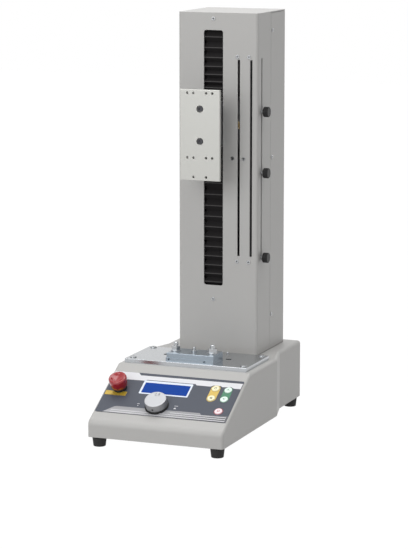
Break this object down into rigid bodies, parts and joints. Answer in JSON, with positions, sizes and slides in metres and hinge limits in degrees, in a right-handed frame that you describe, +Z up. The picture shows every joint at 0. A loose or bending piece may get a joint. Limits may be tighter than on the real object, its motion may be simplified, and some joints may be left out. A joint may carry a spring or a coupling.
{
  "type": "motorized test stand",
  "caption": "Bench test stand with a motor-driven gauge plate on a tall enclosed column, a flat steel table with a clamp fixture, and a sloped control panel.",
  "frame": {"origin": "on the surface the feet stand on, in the middle of the stand's width and depth", "axes": "+Z up along the column, +Y to the rear, +X to the right seen from the control panel"},
  "size_m": [0.235, 0.415, 0.687],
  "materials": {
    "painted_cover": "fine textured light grey paint",
    "painted_base": "fine textured light grey paint",
    "black_rubber": "matt moulded rubber",
    "zinc_steel": "zinc plated steel",
    "ground_steel": "fine ground steel",
    "frame_steel": "dark primer on welded steel",
    "fixture_steel": "ground steel",
    "bright_fastener": "bright nickel plated",
    "overlay_print": "matt printed film",
    "display_window": "clear window over a blue display",
    "circuit_board": "green solder mask",
    "key_yellow": "printed key cap",
    "key_green": "printed key cap",
    "key_red": "printed key cap",
    "dial_aluminium": "satin anodised",
    "black_plastic": "matt moulded plastic",
    "red_plastic": "glossy red plastic",
    "grey_plastic": "moulded plastic",
    "satin_aluminium": "bead blasted and anodised",
    "machined_aluminium": "machined",
    "brass": "turned brass",
    "screw_steel": "ground and rolled steel",
    "black_oxide": "black oxide steel",
    "bellows_cloth": "black coated cloth",
    "motor_black": "black enamel",
    "supply_case": "sheet aluminium"
  },
  "bodies": {
    "root": {"base_housing": "painted_base", "base_bottom_plate": "frame_steel", "bottom_plate_screws": "zinc_steel", "rubber_feet": "black_rubber", "foot_screws": "zinc_steel", "base_frame": "frame_steel", "table_plate": "ground_steel", "table_plate_screws": "bright_fastener", "fixture_lower_plate": "fixture_steel", "fixture_upper_block": "fixture_steel", "fixture_clamp_bolts": "bright_fastener", "fixture_centre_screw": "bright_fastener", "panel_overlay": "overlay_print", "lcd_window": "display_window", "panel_board": "circuit_board", "dial_ring": "black_plastic", "speed_encoder": "black_plastic", "estop_body": "black_plastic", "column_front_cover": "painted_cover", "column_rear_cover": "painted_cover", "column_cover_screws": "zinc_steel", "column_backbone": "machined_aluminium", "guide_rails": "screw_steel", "timing_belt": "black_rubber", "drive_motor": "motor_black", "lower_bearing_block": "frame_steel", "upper_bearing_block": "machined_aluminium", "lower_cross_plate": "machined_aluminium", "upper_bellows": "bellows_cloth", "lower_bellows": "bellows_cloth", "limit_rail": "zinc_steel", "control_board": "circuit_board", "power_supply": "supply_case", "power_inlet": "black_plastic", "switch_frame": "black_plastic", "signal_connector": "zinc_steel"},
    "carriage": {"carriage_block": "machined_aluminium", "screw_nut": "brass", "gauge_arm": "machined_aluminium", "gauge_plate": "satin_aluminium", "gauge_plate_screws": "black_oxide", "position_pointer": "brass"},
    "lead_screw": {"lead_screw": "screw_steel", "screw_pulley": "machined_aluminium"},
    "motor_rotor": {"motor_pulley": "machined_aluminium"},
    "estop_plunger": {"estop_plunger": "grey_plastic"},
    "estop_head": {"estop_head": "red_plastic"},
    "speed_dial": {"speed_dial": "dial_aluminium"},
    "power_rocker": {"power_rocker": "black_plastic"},
    "mode_key_upper": {"mode_key_upper": "key_yellow"},
    "mode_key_lower": {"mode_key_lower": "key_yellow"},
    "up_key": {"up_key": "key_green"},
    "down_key": {"down_key": "key_green"},
    "stop_key": {"stop_key": "key_red"},
    "upper_slider": {"upper_limit_slider": "machined_aluminium"},
    "upper_knob": {"upper_limit_knob": "black_plastic"},
    "middle_slider": {"middle_limit_slider": "machined_aluminium"},
    "middle_knob": {"middle_limit_knob": "black_plastic"},
    "lower_slider": {"lower_limit_slider": "machined_aluminium"},
    "lower_knob": {"lower_limit_knob": "black_plastic"}
  },
  "joints": [
    {"name": "carriage_slide", "type": "slide", "parent": "root", "child": "carriage", "axis": [0, 0, 1], "range_m": [-0.21, 0.1], "deforming": ["upper_bellows", "lower_bellows"]},
    {"name": "lead_screw_spin", "type": "hinge", "parent": "root", "child": "lead_screw", "pos_m": [0, 0.1075, 0.3], "axis": [0, 0, 1], "range_deg": [-3605, 7565]},
    {"name": "motor_spin", "type": "hinge", "parent": "root", "child": "motor_rotor", "pos_m": [0, 0.0075, 0.09], "axis": [0, 0, 1], "range_deg": [-7210, 15130]},
    {"name": "estop_press", "type": "slide", "parent": "root", "child": "estop_plunger", "axis": [0, 0.4991, -0.8665], "range_m": [0, 0.004]},
    {"name": "estop_twist", "type": "hinge", "parent": "estop_plunger", "child": "estop_head", "pos_m": [-0.09, -0.14558, 0.10009], "axis": [0, -0.4991, 0.8665], "range_deg": [-40, 0], "stiffness_Nm_per_rad": 0.02},
    {"name": "speed_dial_turn", "type": "hinge", "parent": "root", "child": "speed_dial", "pos_m": [-0.0125, -0.16973, 0.07349], "axis": [0, -0.4991, 0.8665], "range_deg": [-150, 150]},
    {"name": "power_rocker_tilt", "type": "hinge", "parent": "root", "child": "power_rocker", "pos_m": [-0.012, 0.2005, 0.0585], "axis": [1, 0, 0], "range_deg": [-16, 0]},
    {"name": "mode_key_upper_press", "type": "slide", "parent": "root", "child": "mode_key_upper", "axis": [0, 0.4991, -0.8665], "range_m": [0, 0.0005], "stiffness_N_per_m": 300, "springref_m": -0.0005},
    {"name": "mode_key_lower_press", "type": "slide", "parent": "root", "child": "mode_key_lower", "axis": [0, 0.4991, -0.8665], "range_m": [0, 0.0005], "stiffness_N_per_m": 300, "springref_m": -0.0005},
    {"name": "up_key_press", "type": "slide", "parent": "root", "child": "up_key", "axis": [0, 0.4991, -0.8665], "range_m": [0, 0.0005], "stiffness_N_per_m": 300, "springref_m": -0.0005},
    {"name": "down_key_press", "type": "slide", "parent": "root", "child": "down_key", "axis": [0, 0.4991, -0.8665], "range_m": [0, 0.0005], "stiffness_N_per_m": 300, "springref_m": -0.0005},
    {"name": "stop_key_press", "type": "slide", "parent": "root", "child": "stop_key", "axis": [0, 0.4991, -0.8665], "range_m": [0, 0.0005], "stiffness_N_per_m": 300, "springref_m": -0.0005},
    {"name": "upper_slider_slide", "type": "slide", "parent": "root", "child": "upper_slider", "axis": [0, 0, 1], "range_m": [-0.03, 0.078]},
    {"name": "upper_knob_turn", "type": "hinge", "parent": "upper_slider", "child": "upper_knob", "pos_m": [0.0872, 0.0685, 0.524], "axis": [1, 0, 0], "range_deg": [0, 180]},
    {"name": "middle_slider_slide", "type": "slide", "parent": "root", "child": "middle_slider", "axis": [0, 0, 1], "range_m": [-0.06, 0.045]},
    {"name": "middle_knob_turn", "type": "hinge", "parent": "middle_slider", "child": "middle_knob", "pos_m": [0.0872, 0.0685, 0.422], "axis": [1, 0, 0], "range_deg": [0, 180]},
    {"name": "lower_slider_slide", "type": "slide", "parent": "root", "child": "lower_slider", "axis": [0, 0, 1], "range_m": [0, 0.05]},
    {"name": "lower_knob_turn", "type": "hinge", "parent": "lower_slider", "child": "lower_knob", "pos_m": [0.0872, 0.0685, 0.2795], "axis": [1, 0, 0], "range_deg": [0, 180]}
  ],
  "couplings": [
    {"joint": "lead_screw_spin", "follows": "carriage_slide", "rad_per_m": -628.32},
    {"joint": "motor_spin", "follows": "carriage_slide", "rad_per_m": -1256.6}
  ]
}
